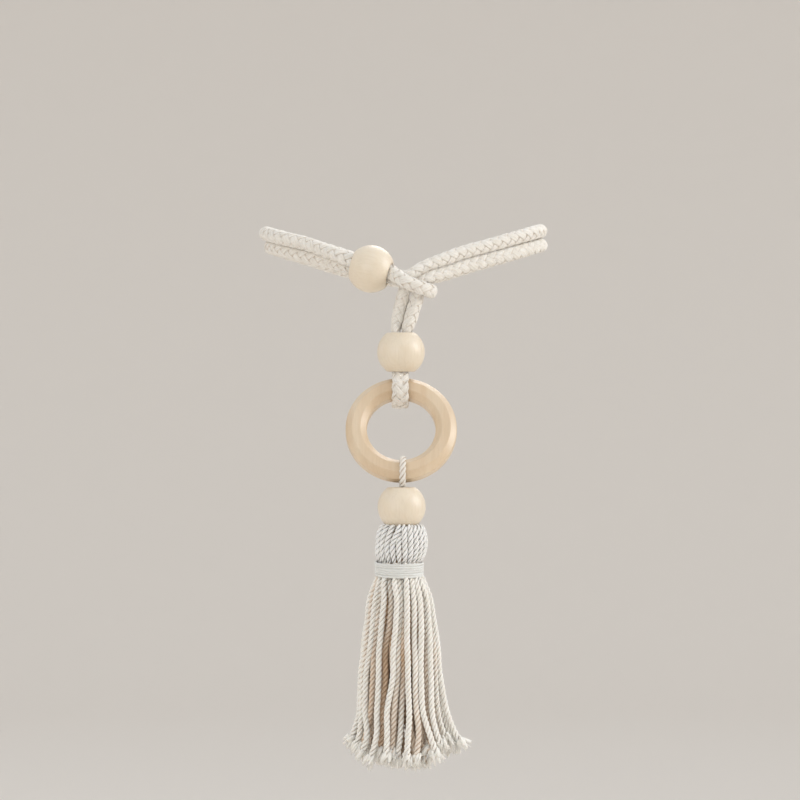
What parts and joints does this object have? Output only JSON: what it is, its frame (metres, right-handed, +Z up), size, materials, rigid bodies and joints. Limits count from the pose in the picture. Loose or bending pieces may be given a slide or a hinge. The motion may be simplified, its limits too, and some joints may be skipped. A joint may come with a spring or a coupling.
{
  "type": "curtain tieback tassel",
  "caption": "Doubled braided cotton rope tied round a gathered curtain, with wooden beads, a turned wooden ring and a cotton yarn tassel hanging at the front.",
  "frame": {"origin": "centre of the tied loop, at the height where it passes the sides of the gathered curtain", "axes": "+X to the right seen from the front, +Y from the front towards the back, +Z up; the tassel hangs at -Y"},
  "size_m": [0.145, 0.1339, 0.2705],
  "materials": {
    "cotton_rope": "matt natural cotton, round braid",
    "cotton_yarn": "matt natural cotton, three-ply twisted yarn",
    "pale_wood": "pale fine-grained wood, smooth, waxed",
    "ring_wood": "warm beech-like wood with visible grain, turned and sanded"
  },
  "bodies": {
    "root": {"rope": "cotton_rope", "tie_bead": "pale_wood", "ring_bead": "pale_wood", "tassel_bead": "pale_wood", "wood_ring": "ring_wood", "hanging_cord": "cotton_rope", "tassel": "cotton_yarn", "neck_wrap": "cotton_yarn"}
  },
  "joints": []
}
